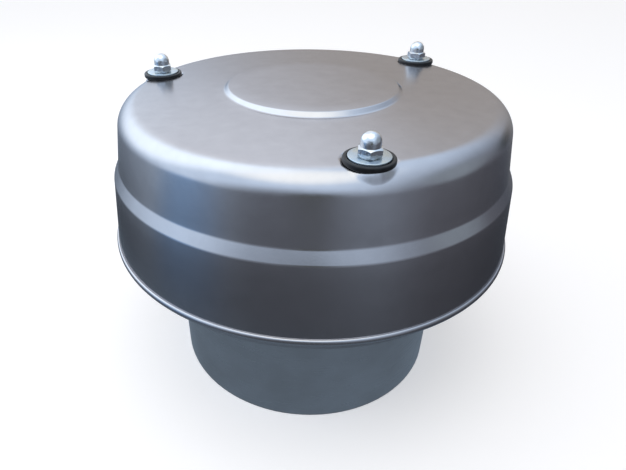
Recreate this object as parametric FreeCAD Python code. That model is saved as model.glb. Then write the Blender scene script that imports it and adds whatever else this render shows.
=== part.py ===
import FreeCAD, Part
import math
import os

V = FreeCAD.Vector

# Spring-loaded pressure and vacuum relief valve for a tank roof, in millimetres.
# The origin is the centre of the spigot's lower end, +Z is up, and one stud stands towards -Y.

# Spigot and casing
spigot_od = 273.0
spigot_wall = 3.0
spigot_length = 144.5          # from the lower end to the underside of the casing flange
tube_step = 1.5                # radial, turned off the tube's top end for the flange and the seat
tube_step_below = 0.5          # from that step up to the flange
flange_wall = 2.5
flange_overhang = 27.5         # from the stud circle out to the flange's edge
flange_edge_r = 1.0
flange_band_wall = 2.5
flange_band_depth = 9.5        # of the rolled band welded under the flange's edge

# Valve seat on the tube's top edge
seat_skirt = 6.0               # how far the tube stands above the flange, inside the seat's skirt
seat_wall = 4.5
seat_cap = 3.0
seat_lip_height = 2.0
seat_lip_width = 3.5
seat_lip_set_in = 1.5          # from the seat's outside to its lip
seat_edge_r = 1.0
seat_lip_edge_r = 0.5          # on both lids' seats

# Studs and metric fasteners
stud_count = 3
stud_d = 10.0
stud_offset = 16.5             # from the spigot's outside to the stud circle
thread_gap = 0.02              # radial, between a nut and its stud
running_gap = 0.08             # radial, between a bush and what slides in it
push_gap = 0.02                # radial, between a bush and the hole it is pushed into
clearance_hole = 0.5           # radial, round a stud in sheet or washers
nut_af = 16.0
nut_height = 8.4
thin_nut_height = 5.0
nut_chamfer_share = 0.95       # diameter of a nut's end face over its width across flats
washer_od = 20.0
washer_thickness = 2.0
stud_end = 2.0                 # thread that stands out past the last nut
rod_chamfer = 1.0              # at the ends of studs and spindle

# Pressure lid
lid_wall = 2.5
lid_overhang = 15.0            # from the stud circle out to the lid's edge
lid_rim_drop = 6.0
lid_bend_r = 4.0
lid_opening_d = 200.0
gasket_thickness = 4.0
gasket_margin_in = 4.0
gasket_margin_out = 4.0
bush_wall = 3.0
bush_flange_r = 12.0
bush_flange_thickness = 2.0
bush_below_lid = 2.5
bush_edge_r = 0.5

# Pressure springs and their cups
spring_length = 72.0           # as fitted, with the lid shut
spring_mean_d = 23.0
spring_wire_d = 3.0
spring_turns = 9.0
cup_wall = 1.5
cup_rim = 3.0
cup_gap = 0.6                  # radial, between a spring and its cup's rim
free_thread = 10.2             # from the lock nut up to the hood's support nut

# Vacuum lid, its seat and its bridge
vacuum_seat_depth = 7.5
vacuum_seat_wall = 6.0
vacuum_lip_depth = 2.0
vacuum_lip_width = 3.0
vacuum_seat_edge_r = 0.8
disc_wall = 2.5
disc_overlap = 10.0            # from the lid's opening out to the disc's edge
disc_rim_drop = 8.0
disc_bend_r = 4.0
vacuum_gasket_in = 4.0         # how far the gasket reaches inwards past the lid's opening
vacuum_gasket_out = 9.0
bridge_thickness = 4.0
bridge_arm_width = 24.0
bridge_hub_r = 24.0
bridge_reach = 8.0             # from the bridge's screws out to the arms' ends
bridge_end_r = 5.0
boss_wall = 5.0
boss_height = 15.5
spindle_d = 10.0
vacuum_spring_length = 55.5
vacuum_spring_mean_d = 34.0
vacuum_spring_wire_d = 2.5
vacuum_spring_turns = 7.0

# Bridge screws, M6
small_screw_d = 6.0
small_nut_af = 10.0
small_nut_height = 5.0
small_head_height = 4.0
small_washer_od = 12.0
small_washer_thickness = 1.6
small_screw_end = 1.5
small_hole_gap = 0.3

# Hood
hood_wall = 1.5
hood_pad_r = 18.8              # flat pad pressed round each stud
hood_pad_edge_r = 3.0
hood_pad_depth = 16.0
hood_top_reach = 18.0          # from the stud circle out to the corner where the top meets the wall
hood_corner_r = 16.5
hood_crown_rise = 4.1          # from the top's outer corner up to the foot of the centre disc
disc_foot_r = 79.3
centre_disc_rise = 3.7
centre_disc_slope = 3.5        # width of the slope round the centre disc
centre_disc_edge_r = 2.0
upper_wall_flare = 7.7         # radial, from the top corner down to the shoulder
upper_wall_height = 50.8
shoulder_flare = 5.1
shoulder_height = 10.1
shoulder_bend_r = 6.0
skirt_flare = 6.2
skirt_height = 61.9
rim_bead_r = 2.2

# Hood fasteners
rubber_washer_od = 36.0
rubber_washer_thickness = 2.5
rubber_edge_r = 0.8
large_washer_od = 30.0
large_washer_thickness = 2.5
large_washer_edge_r = 0.4
acorn_height = 16.5
acorn_hex_height = 6.5
acorn_dome_d = 14.6
acorn_thread_depth = 11.5
acorn_thread_spare = 1.0       # thread left empty above the stud's end
acorn_face_height = 0.6        # thin round face under the hexagon
hex_chamfer_angle = 30.0

# Points nearer to each other than this are one point
touching = 1e-6

# Radii worked out from the driving sizes
spigot_r = spigot_od / 2
bore_r = spigot_r - spigot_wall
tube_top_r = spigot_r - tube_step
seat_r = spigot_r + seat_wall
seat_lip_r = seat_r - seat_lip_set_in
stud_r = stud_d / 2
spindle_r = spindle_d / 2
stud_circle_r = spigot_r + stud_offset
flange_r = stud_circle_r + flange_overhang
lid_r = stud_circle_r + lid_overhang
lid_opening_r = lid_opening_d / 2
bush_r = stud_r + running_gap + bush_wall
spindle_bush_r = spindle_r + running_gap + bush_wall
boss_r = spindle_bush_r + push_gap + boss_wall
disc_r = lid_opening_r + disc_overlap
gasket_in_r = seat_lip_r - seat_lip_width - gasket_margin_in
vacuum_seat_out_r = lid_opening_r + vacuum_seat_wall
bridge_screw_r = (vacuum_seat_out_r + gasket_in_r) / 2
small_screw_r = small_screw_d / 2
hood_corner_vertex_r = stud_circle_r + hood_top_reach

# Heights worked out from the driving sizes
tube_step_z = spigot_length - tube_step_below
flange_top_z = spigot_length + flange_wall
tube_top_z = flange_top_z + seat_skirt
seat_z = tube_top_z + seat_cap + seat_lip_height
lid_under_z = seat_z + gasket_thickness
lid_top_z = lid_under_z + lid_wall
bush_top_z = lid_top_z + bush_flange_thickness
spring_low_z = bush_top_z + cup_wall
spring_high_z = spring_low_z + spring_length
adjusting_nut_z = spring_high_z + cup_wall
lock_nut_z = adjusting_nut_z + nut_height
support_nut_z = lock_nut_z + thin_nut_height + free_thread
support_washer_z = support_nut_z + nut_height
pad_z = support_washer_z + washer_thickness + hood_wall
large_washer_z = pad_z + rubber_washer_thickness
acorn_z = large_washer_z + large_washer_thickness
stud_top_z = acorn_z + acorn_thread_depth - acorn_thread_spare
stud_low_z = spigot_length - washer_thickness - nut_height - stud_end
vacuum_seat_z = lid_under_z - vacuum_seat_depth
disc_top_z = vacuum_seat_z - gasket_thickness
disc_under_z = disc_top_z - disc_wall
bridge_top_z = lid_top_z + bridge_thickness
boss_top_z = bridge_top_z + boss_height
vacuum_cup_z = bridge_top_z + vacuum_spring_length
spindle_nut_z = vacuum_cup_z + cup_wall
spindle_top_z = spindle_nut_z + nut_height + thin_nut_height + stud_end
spindle_low_z = disc_under_z - washer_thickness - nut_height - stud_end


def rounded_face(points):
    """Face in the XZ plane from (radius, height, corner radius) points."""
    corners = [V(r, 0, z) for r, z, corner_r in points]
    stretches = []
    for index, (r, z, corner_r) in enumerate(points):
        here = corners[index]
        if corner_r == 0:
            stretches.append((here, here, None))
            continue
        back = (corners[index - 1] - here).normalize()
        ahead = (corners[(index + 1) % len(points)] - here).normalize()
        half_angle = back.getAngle(ahead) / 2
        reach = corner_r / math.tan(half_angle)
        towards_centre = (back + ahead).normalize()
        middle = here + towards_centre * (corner_r / math.sin(half_angle) - corner_r)
        stretches.append((here + back * reach, here + ahead * reach, middle))
    edges = []
    for index, (start, end, middle) in enumerate(stretches):
        if middle is not None:
            edges.append(Part.Arc(start, middle, end).toShape())
        next_start = stretches[(index + 1) % len(stretches)][0]
        if (next_start - end).Length > touching:
            edges.append(Part.LineSegment(end, next_start).toShape())
    return Part.Face(Part.Wire(edges))


def turned(points):
    """Solid of revolution about the Z axis from (radius, height, corner radius) points."""
    return rounded_face(points).revolve(V(0, 0, 0), V(0, 0, 1), 360)


def ring(inner_r, outer_r, low_z, high_z, edge_r=0):
    """Flat ring, with its outer edges rounded by edge_r."""
    return turned([
        (inner_r, low_z, 0),
        (outer_r, low_z, edge_r),
        (outer_r, high_z, edge_r),
        (inner_r, high_z, 0),
    ])


def cylinder(radius, low_z, high_z):
    return Part.makeCylinder(radius, high_z - low_z, V(0, 0, low_z))


def hexagon(across_flats, low_z, high_z, chamfer_low=True, chamfer_high=True):
    """Hexagonal prism with its corners chamfered at the chosen ends."""
    corner_r = across_flats / math.sqrt(3)
    face_r = across_flats / 2 * nut_chamfer_share
    chamfer = (corner_r - face_r) * math.tan(math.radians(hex_chamfer_angle))
    corners = []
    for step in range(7):
        angle = math.radians(60 * step)
        corners.append(V(corner_r * math.cos(angle), corner_r * math.sin(angle), low_z))
    prism = Part.Face(Part.makePolygon(corners)).extrude(V(0, 0, high_z - low_z))
    limit = [(0, low_z, 0)]
    if chamfer_low:
        limit += [(face_r, low_z, 0), (corner_r, low_z + chamfer, 0)]
    else:
        limit += [(corner_r, low_z, 0)]
    if chamfer_high:
        limit += [(corner_r, high_z - chamfer, 0), (face_r, high_z, 0)]
    else:
        limit += [(corner_r, high_z, 0)]
    limit += [(0, high_z, 0)]
    return prism.common(turned(limit))


def nut(across_flats, thread_r, low_z, high_z):
    return hexagon(across_flats, low_z, high_z).cut(cylinder(thread_r + thread_gap, low_z, high_z))


def coil(mean_d, wire_d, turns, low_z, high_z):
    """Round-wire compression spring that fills the height from low_z to high_z."""
    height = high_z - low_z - wire_d
    path = Part.makeHelix(height / turns, height, mean_d / 2)
    path.translate(V(0, 0, low_z + wire_d / 2))
    start = path.Edges[0].valueAt(path.Edges[0].FirstParameter)
    tangent = path.Edges[0].tangentAt(path.Edges[0].FirstParameter)
    section = Part.Wire([Part.makeCircle(wire_d / 2, start, tangent)])
    return Part.Wire(path.Edges).makePipeShell([section], True, True)


def around(shape, radius, count, first_angle):
    """Copies of a shape from the axis, moved out to a circle and spaced evenly round it."""
    copies = []
    for index in range(count):
        copy = shape.copy()
        copy.translate(V(radius, 0, 0))
        copy.rotate(V(0, 0, 0), V(0, 0, 1), first_angle + 360 * index / count)
        copies.append(copy)
    return Part.makeCompound(copies)


def on_studs(shape):
    """The shape at each stud. The first stud stands towards -Y."""
    return around(shape, stud_circle_r, stud_count, -90)


def on_bridge(shape):
    """The shape at each bridge screw, halfway between the studs."""
    return around(shape, bridge_screw_r, stud_count, -90 + 180 / stud_count)


def pressed_ring(inner_r, outer_r, top_z, wall, rim_drop, bend_r):
    """Sheet ring with its outer edge turned down."""
    return turned([
        (inner_r, top_z - wall, 0),
        (outer_r - wall, top_z - wall, bend_r - wall),
        (outer_r - wall, top_z - rim_drop, 0),
        (outer_r, top_z - rim_drop, 0),
        (outer_r, top_z, bend_r),
        (inner_r, top_z, 0),
    ])


def spring_cup(bore_r, rim_r, face_z, rim_direction):
    """Pressed cup. Its face carries the spring, and its rim stands up (1) or down (-1) round it."""
    outer_r = rim_r + cup_wall
    back_z = face_z - rim_direction * cup_wall
    rim_z = face_z + rim_direction * cup_rim
    return turned([
        (bore_r, back_z, 0),
        (outer_r, back_z, cup_wall),
        (outer_r, rim_z, 0),
        (rim_r, rim_z, 0),
        (rim_r, face_z, 0),
        (bore_r, face_z, 0),
    ])


def make_spigot_tube():
    return turned([
        (bore_r, 0, 0),
        (spigot_r, 0, 0),
        (spigot_r, tube_step_z, 0),
        (tube_top_r, tube_step_z, 0),
        (tube_top_r, tube_top_z, 0),
        (bore_r, tube_top_z, 0),
    ])


def make_casing_flange():
    plate = turned([
        (tube_top_r, spigot_length, 0),
        (flange_r, spigot_length, 0),
        (flange_r, flange_top_z, flange_edge_r),
        (tube_top_r, flange_top_z, 0),
    ])
    return plate.cut(on_studs(cylinder(stud_r + clearance_hole, spigot_length, flange_top_z)))


def make_flange_band():
    low_z = spigot_length - flange_band_depth
    return turned([
        (flange_r - flange_band_wall, low_z, 0),
        (flange_r, low_z, flange_edge_r),
        (flange_r, spigot_length, 0),
        (flange_r - flange_band_wall, spigot_length, 0),
    ])


def make_valve_seat():
    cap_z = tube_top_z + seat_cap
    lip_in_r = seat_lip_r - seat_lip_width
    return turned([
        (tube_top_r, flange_top_z, 0),
        (seat_r, flange_top_z, 0),
        (seat_r, cap_z, seat_edge_r),
        (seat_lip_r, cap_z, 0),
        (seat_lip_r, seat_z, seat_lip_edge_r),
        (lip_in_r, seat_z, seat_lip_edge_r),
        (lip_in_r, cap_z, 0),
        (bore_r, cap_z, seat_edge_r),
        (bore_r, tube_top_z, 0),
        (tube_top_r, tube_top_z, 0),
    ])


def rod(radius, low_z, high_z):
    """Threaded rod drawn as a plain one, with chamfered ends."""
    return turned([
        (0, low_z, 0),
        (radius - rod_chamfer, low_z, 0),
        (radius, low_z + rod_chamfer, 0),
        (radius, high_z - rod_chamfer, 0),
        (radius - rod_chamfer, high_z, 0),
        (0, high_z, 0),
    ])


def make_studs():
    return on_studs(rod(stud_r, stud_low_z, stud_top_z))


def plain_washer(low_z):
    return ring(stud_r + clearance_hole, washer_od / 2, low_z, low_z + washer_thickness)


def make_stud_base_washers():
    upper = plain_washer(flange_top_z)
    lower = plain_washer(spigot_length - washer_thickness)
    return Part.makeCompound([on_studs(upper), on_studs(lower)])


def make_stud_base_nuts():
    upper_z = flange_top_z + washer_thickness
    lower_z = spigot_length - washer_thickness - nut_height
    upper = nut(nut_af, stud_r, upper_z, upper_z + nut_height)
    lower = nut(nut_af, stud_r, lower_z, lower_z + nut_height)
    return Part.makeCompound([on_studs(upper), on_studs(lower)])


def make_pressure_lid_plate():
    plate = pressed_ring(lid_opening_r, lid_r, lid_top_z, lid_wall, lid_rim_drop, lid_bend_r)
    bush_holes = on_studs(cylinder(bush_r + push_gap, lid_under_z, lid_top_z))
    screw_holes = on_bridge(cylinder(small_screw_r + small_hole_gap, lid_under_z, lid_top_z))
    return plate.cut(bush_holes).cut(screw_holes)


def make_pressure_gasket():
    return ring(gasket_in_r, seat_lip_r + gasket_margin_out, seat_z, lid_under_z)


def make_stud_guide_bushes():
    bush = turned([
        (stud_r + running_gap, lid_under_z - bush_below_lid, 0),
        (bush_r, lid_under_z - bush_below_lid, bush_edge_r),
        (bush_r, lid_top_z, 0),
        (bush_flange_r, lid_top_z, 0),
        (bush_flange_r, bush_top_z, bush_edge_r),
        (stud_r + running_gap, bush_top_z, 0),
    ])
    return on_studs(bush)


def pressure_cup(face_z, rim_direction):
    rim_r = (spring_mean_d + spring_wire_d) / 2 + cup_gap
    return on_studs(spring_cup(stud_r + clearance_hole, rim_r, face_z, rim_direction))


def make_pressure_springs():
    return on_studs(coil(spring_mean_d, spring_wire_d, spring_turns, spring_low_z, spring_high_z))


def make_spring_adjusting_nuts():
    return on_studs(nut(nut_af, stud_r, adjusting_nut_z, adjusting_nut_z + nut_height))


def make_spring_lock_nuts():
    return on_studs(nut(nut_af, stud_r, lock_nut_z, lock_nut_z + thin_nut_height))


def make_hood_support_nuts():
    return on_studs(nut(nut_af, stud_r, support_nut_z, support_nut_z + nut_height))


def make_hood_support_washers():
    return on_studs(plain_washer(support_washer_z))


def make_vacuum_seat_ring():
    lip_in_r = lid_opening_r + (vacuum_seat_wall - vacuum_lip_width) / 2
    lip_out_r = lip_in_r + vacuum_lip_width
    shoulder_z = vacuum_seat_z + vacuum_lip_depth
    return turned([
        (lid_opening_r, shoulder_z, vacuum_seat_edge_r),
        (lip_in_r, shoulder_z, 0),
        (lip_in_r, vacuum_seat_z, seat_lip_edge_r),
        (lip_out_r, vacuum_seat_z, seat_lip_edge_r),
        (lip_out_r, shoulder_z, 0),
        (vacuum_seat_out_r, shoulder_z, vacuum_seat_edge_r),
        (vacuum_seat_out_r, lid_under_z, 0),
        (lid_opening_r, lid_under_z, 0),
    ])


def make_guide_bridge():
    reach = bridge_screw_r + bridge_reach
    bar = Part.makeBox(reach, bridge_arm_width, bridge_thickness, V(0, -bridge_arm_width / 2, lid_top_z))
    end_edges = [edge for edge in bar.Edges
                 if edge.BoundBox.XMin > reach / 2 and edge.BoundBox.ZLength > bridge_thickness / 2]
    arms = around(bar.makeFillet(bridge_end_r, end_edges), 0, stud_count, -90 + 180 / stud_count)
    boss = cylinder(boss_r, lid_top_z, boss_top_z)
    bridge = cylinder(bridge_hub_r, lid_top_z, bridge_top_z).multiFuse([arms, boss]).removeSplitter()
    bridge = bridge.cut(cylinder(spindle_bush_r + push_gap, lid_top_z, boss_top_z))
    return bridge.cut(on_bridge(cylinder(small_screw_r + small_hole_gap, lid_top_z, bridge_top_z)))


def make_bridge_washers():
    hole_r = small_screw_r + small_hole_gap
    high_z = bridge_top_z + small_washer_thickness
    return on_bridge(ring(hole_r, small_washer_od / 2, bridge_top_z, high_z))


def make_bridge_screws():
    head_z = bridge_top_z + small_washer_thickness
    low_z = lid_under_z - small_nut_height - small_screw_end
    head = hexagon(small_nut_af, head_z, head_z + small_head_height, chamfer_low=False)
    return on_bridge(head.fuse(cylinder(small_screw_r, low_z, head_z)).removeSplitter())


def make_bridge_nuts():
    return on_bridge(nut(small_nut_af, small_screw_r, lid_under_z - small_nut_height, lid_under_z))


def make_spindle_bush():
    flange_r = spindle_bush_r + bush_wall
    return turned([
        (spindle_r + running_gap, lid_top_z, 0),
        (spindle_bush_r, lid_top_z, 0),
        (spindle_bush_r, boss_top_z, 0),
        (flange_r, boss_top_z, 0),
        (flange_r, boss_top_z + bush_flange_thickness, bush_edge_r),
        (spindle_r + running_gap, boss_top_z + bush_flange_thickness, 0),
    ])


def make_vacuum_spring():
    mean_d = vacuum_spring_mean_d
    return coil(mean_d, vacuum_spring_wire_d, vacuum_spring_turns, bridge_top_z, vacuum_cup_z)


def make_vacuum_lid_disc():
    hole_r = spindle_r + clearance_hole
    return pressed_ring(hole_r, disc_r, disc_top_z, disc_wall, disc_rim_drop, disc_bend_r)


def make_vacuum_gasket():
    in_r = lid_opening_r - vacuum_gasket_in
    out_r = lid_opening_r + vacuum_gasket_out
    return ring(in_r, out_r, disc_top_z, vacuum_seat_z)


def make_spindle():
    return rod(spindle_r, spindle_low_z, spindle_top_z)


def make_disc_clamp_washers():
    return Part.makeCompound([plain_washer(disc_top_z), plain_washer(disc_under_z - washer_thickness)])


def make_disc_clamp_nuts():
    upper_z = disc_top_z + washer_thickness
    lower_z = disc_under_z - washer_thickness - nut_height
    upper = nut(nut_af, spindle_r, upper_z, upper_z + thin_nut_height)
    lower = nut(nut_af, spindle_r, lower_z, lower_z + nut_height)
    return Part.makeCompound([upper, lower])


def make_vacuum_spring_cup():
    rim_r = (vacuum_spring_mean_d + vacuum_spring_wire_d) / 2 + cup_gap
    return spring_cup(spindle_r + clearance_hole, rim_r, vacuum_cup_z, -1)


def make_spindle_adjusting_nut():
    return nut(nut_af, spindle_r, spindle_nut_z, spindle_nut_z + nut_height)


def make_spindle_lock_nut():
    low_z = spindle_nut_z + nut_height
    return nut(nut_af, spindle_r, low_z, low_z + thin_nut_height)


def hood_profile():
    """The hood's outline from the centre of its top to the rim, as (radius, height, corner radius)."""
    corner_z = pad_z
    foot_z = corner_z + hood_crown_rise
    shoulder_top_r = hood_corner_vertex_r + upper_wall_flare
    shoulder_top_z = corner_z - upper_wall_height
    shoulder_low_r = shoulder_top_r + shoulder_flare
    shoulder_low_z = shoulder_top_z - shoulder_height
    return [
        (0, foot_z + centre_disc_rise, 0),
        (disc_foot_r - centre_disc_slope, foot_z + centre_disc_rise, centre_disc_edge_r),
        (disc_foot_r, foot_z, centre_disc_edge_r + hood_wall),
        (hood_corner_vertex_r, corner_z, hood_corner_r),
        (shoulder_top_r, shoulder_top_z, shoulder_bend_r),
        (shoulder_low_r, shoulder_low_z, shoulder_bend_r),
        (shoulder_low_r + skirt_flare, shoulder_low_z - skirt_height, 0),
    ]


def inset(profile, wall):
    """The outline moved inwards by the sheet's thickness, with its corner radii changed to match."""
    moved = []
    points = [V(r, 0, z) for r, z, corner_r in profile]
    runs = [(ahead - here).normalize() for here, ahead in zip(points, points[1:])]
    for index, (r, z, corner_r) in enumerate(profile):
        here = points[index]
        arriving = runs[max(index - 1, 0)]
        leaving = runs[min(index, len(runs) - 1)]
        inward = (V(arriving.z, 0, -arriving.x) + V(leaving.z, 0, -leaving.x)).normalize()
        half_turn = arriving.getAngle(leaving) / 2
        point = here + inward * (wall / math.cos(half_turn))
        turns_down = arriving.cross(leaving).y > 0
        new_corner_r = corner_r - wall if turns_down else corner_r + wall
        moved.append((point.x, point.z, new_corner_r if corner_r else 0))
    return moved


def hood_blank(profile, pad_r, recess_r, pad_top_z, pad_edge_r):
    """Solid under an outline, with a flat pad round each stud, sunk where the top is higher."""
    low_z = profile[-1][1]
    body = turned(profile + [(0, low_z, 0)])
    above_pad = cylinder(recess_r, pad_top_z, pad_top_z + hood_crown_rise)
    pad = turned([
        (0, pad_top_z - hood_pad_depth, 0),
        (pad_r, pad_top_z - hood_pad_depth, 0),
        (pad_r, pad_top_z, pad_edge_r),
        (0, pad_top_z, 0),
    ])
    return body.cut(on_studs(above_pad)).fuse(on_studs(pad))


def make_hood():
    outer = hood_profile()
    inner = inset(outer, hood_wall)
    rim_r, rim_z = outer[-1][0], outer[-1][1]
    inner_pad_r = hood_pad_r - hood_wall
    inner_recess_r = hood_pad_r + hood_wall
    inner_pad_z = pad_z - hood_wall
    inner_edge_r = hood_pad_edge_r - hood_wall
    outer_blank = hood_blank(outer, hood_pad_r, hood_pad_r, pad_z, hood_pad_edge_r)
    inner_blank = hood_blank(inner, inner_pad_r, inner_recess_r, inner_pad_z, inner_edge_r)
    bead = Part.makeTorus(rim_r, rim_bead_r, V(0, 0, rim_z))
    hood = outer_blank.cut(inner_blank).fuse(bead)
    return hood.cut(on_studs(cylinder(stud_r + clearance_hole, inner_pad_z, pad_z)))


def make_sealing_washers():
    hole_r = stud_r + clearance_hole
    return on_studs(ring(hole_r, rubber_washer_od / 2, pad_z, large_washer_z, rubber_edge_r))


def make_flat_washers():
    hole_r = stud_r + clearance_hole
    return on_studs(ring(hole_r, large_washer_od / 2, large_washer_z, acorn_z, large_washer_edge_r))


def make_acorn_nuts():
    dome_r = acorn_dome_d / 2
    hex_z = acorn_z + acorn_face_height
    hex_top_z = acorn_z + acorn_hex_height
    face = cylinder(nut_af / 2 * nut_chamfer_share, acorn_z, hex_z)
    shank = cylinder(dome_r, hex_z, acorn_z + acorn_height - dome_r)
    dome = Part.makeSphere(dome_r, V(0, 0, acorn_z + acorn_height - dome_r))
    body = hexagon(nut_af, hex_z, hex_top_z).multiFuse([face, shank, dome]).removeSplitter()
    thread_r = stud_r + thread_gap
    thread_top_z = acorn_z + acorn_thread_depth
    thread = turned([
        (0, acorn_z, 0),
        (thread_r, acorn_z, 0),
        (thread_r, thread_top_z, 0),
        (0, thread_top_z + thread_r / 2, 0),
    ])
    return on_studs(body.cut(thread))


pieces = {
    "spigot_tube": make_spigot_tube(),
    "casing_flange": make_casing_flange(),
    "flange_band": make_flange_band(),
    "valve_seat": make_valve_seat(),
    "studs": make_studs(),
    "stud_base_washers": make_stud_base_washers(),
    "stud_base_nuts": make_stud_base_nuts(),
    "pressure_lid_plate": make_pressure_lid_plate(),
    "pressure_gasket": make_pressure_gasket(),
    "stud_guide_bushes": make_stud_guide_bushes(),
    "lower_spring_cups": pressure_cup(spring_low_z, 1),
    "pressure_springs": make_pressure_springs(),
    "upper_spring_cups": pressure_cup(spring_high_z, -1),
    "spring_adjusting_nuts": make_spring_adjusting_nuts(),
    "spring_lock_nuts": make_spring_lock_nuts(),
    "hood_support_nuts": make_hood_support_nuts(),
    "hood_support_washers": make_hood_support_washers(),
    "vacuum_seat_ring": make_vacuum_seat_ring(),
    "guide_bridge": make_guide_bridge(),
    "bridge_washers": make_bridge_washers(),
    "bridge_screws": make_bridge_screws(),
    "bridge_nuts": make_bridge_nuts(),
    "spindle_bush": make_spindle_bush(),
    "vacuum_spring": make_vacuum_spring(),
    "vacuum_lid_disc": make_vacuum_lid_disc(),
    "vacuum_gasket": make_vacuum_gasket(),
    "spindle": make_spindle(),
    "disc_clamp_washers": make_disc_clamp_washers(),
    "disc_clamp_nuts": make_disc_clamp_nuts(),
    "vacuum_spring_cup": make_vacuum_spring_cup(),
    "spindle_adjusting_nut": make_spindle_adjusting_nut(),
    "spindle_lock_nut": make_spindle_lock_nut(),
    "hood": make_hood(),
    "sealing_washers": make_sealing_washers(),
    "flat_washers": make_flat_washers(),
    "acorn_nuts": make_acorn_nuts(),
}

os.makedirs("parts", exist_ok=True)
for name, shape in pieces.items():
    box = shape.BoundBox
    heights = (round(box.ZMin, 1), round(box.ZMax, 1))
    print(name, len(shape.Solids), shape.isValid(), round(shape.Volume), heights)
    shape.exportStep("parts/" + name + ".step")
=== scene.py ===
import math

import bmesh
import bpy
from mathutils import Matrix, Vector


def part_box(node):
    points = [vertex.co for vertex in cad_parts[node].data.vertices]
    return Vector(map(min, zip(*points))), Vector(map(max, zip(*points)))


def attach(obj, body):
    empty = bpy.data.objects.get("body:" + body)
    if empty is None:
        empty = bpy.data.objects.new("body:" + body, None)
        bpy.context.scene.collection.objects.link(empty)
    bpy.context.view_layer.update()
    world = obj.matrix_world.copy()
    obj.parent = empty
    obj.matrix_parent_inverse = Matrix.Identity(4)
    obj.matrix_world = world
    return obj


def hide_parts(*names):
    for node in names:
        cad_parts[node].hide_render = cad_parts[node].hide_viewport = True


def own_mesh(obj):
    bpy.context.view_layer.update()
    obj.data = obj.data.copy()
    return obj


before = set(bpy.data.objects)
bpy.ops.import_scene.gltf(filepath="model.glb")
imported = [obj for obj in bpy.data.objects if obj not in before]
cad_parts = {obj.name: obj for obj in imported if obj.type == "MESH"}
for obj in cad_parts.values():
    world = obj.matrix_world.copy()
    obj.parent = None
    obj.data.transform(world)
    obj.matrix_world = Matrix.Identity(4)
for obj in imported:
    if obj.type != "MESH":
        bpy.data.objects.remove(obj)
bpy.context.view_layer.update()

# Camera: about 0.5 m in front of the valve and a little to its left, looking down at 33 degrees.
# Its focal length and optical centre are in pixels of a 626 x 470 picture.
mm = 0.001
picture_width = 626
focal_length = 503.04
optical_centre_x = 281.88
sensor_width = 36.0
camera_place = Vector((-114.45, -438.86, 417.73)) * mm
camera_tilt = math.radians(56.8)
camera_turn = math.radians(-11.11)

camera_data = bpy.data.cameras.new("camera")
camera_data.sensor_width = sensor_width
camera_data.lens = focal_length / picture_width * sensor_width
camera_data.shift_x = (picture_width / 2 - optical_centre_x) / picture_width
camera = bpy.data.objects.new("camera", camera_data)
camera.location = camera_place
camera.rotation_euler = (camera_tilt, 0, camera_turn)
bpy.context.scene.collection.objects.link(camera)
bpy.context.scene.camera = camera
bpy.context.scene.view_settings.view_transform = "Standard"


# Studio: a white floor under a white world, with soft light from a window on the left and from above.
# A cloth tent, lit unevenly from outside, stands round it and shows only in the valve's reflections.
def linear(colour):
    """An sRGB hex colour as linear red, green, blue and alpha."""
    values = []
    for start in (1, 3, 5):
        share = int(colour[start:start + 2], 16) / 255
        values.append(share / 12.92 if share <= 0.04045 else ((share + 0.055) / 1.055) ** 2.4)
    return (*values, 1.0)


def add(tree, kind, inputs=None, **settings):
    """Adds a node with its settings, and puts a value or a node's output into each named input."""
    node = tree.nodes.new(kind)
    for name, value in settings.items():
        setattr(node, name, value)
    for name, value in (inputs or {}).items():
        if isinstance(value, bpy.types.NodeSocket):
            tree.links.new(value, node.inputs[name])
        else:
            node.inputs[name].default_value = value
    return node


def soft_light(name, place, aim, width, height, radiance, colour):
    """A rectangular soft light that looks evenly bright, with its power worked out from that."""
    data = bpy.data.lights.new(name, "AREA")
    data.shape = "RECTANGLE"
    data.size = width
    data.size_y = height
    data.energy = radiance * math.pi * width * height
    data.color = linear(colour)[:3]
    light = bpy.data.objects.new(name, data)
    light.location = place
    light.rotation_euler = (Vector(aim) - Vector(place)).to_track_quat("-Z", "Y").to_euler()
    light.visible_glossy = False
    bpy.context.scene.collection.objects.link(light)


valve_middle = (0, 0, 0.2)
world = bpy.data.worlds.new("studio")
bpy.context.scene.world = world
world.use_nodes = True
world.node_tree.nodes.clear()

# The world is white where it is seen, also in a mirror or through glass, and softer as a light
light_path = add(world.node_tree, "ShaderNodeLightPath")
camera_or_gloss = add(world.node_tree, "ShaderNodeMath", {
    0: light_path.outputs["Is Camera Ray"],
    1: light_path.outputs["Is Glossy Ray"],
}, operation="MAXIMUM")
seen_or_through = add(world.node_tree, "ShaderNodeMath", {
    0: camera_or_gloss.outputs["Value"],
    1: light_path.outputs["Is Transmission Ray"],
}, operation="MAXIMUM")
soft_world = add(world.node_tree, "ShaderNodeBackground", {
    "Color": linear("#fbfbfd"),
    "Strength": 0.72,
})
white_world = add(world.node_tree, "ShaderNodeBackground", {
    "Color": linear("#ffffff"),
    "Strength": 1.0,
})
world_choice = add(world.node_tree, "ShaderNodeMixShader", {
    "Fac": seen_or_through.outputs["Value"],
    1: soft_world.outputs["Background"],
    2: white_world.outputs["Background"],
})
add(world.node_tree, "ShaderNodeOutputWorld", {"Surface": world_choice.outputs["Shader"]})

soft_light(
    "window_left",
    place=(-1.5, 0.15, 0.75),
    aim=valve_middle,
    width=1.5,
    height=1.3,
    radiance=1.3,
    colour="#f2f7ff",
)
soft_light(
    "softbox_above",
    place=(-0.3, -0.4, 1.7),
    aim=valve_middle,
    width=1.2,
    height=1.2,
    radiance=1.3,
    colour="#fbfcff",
)

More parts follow.
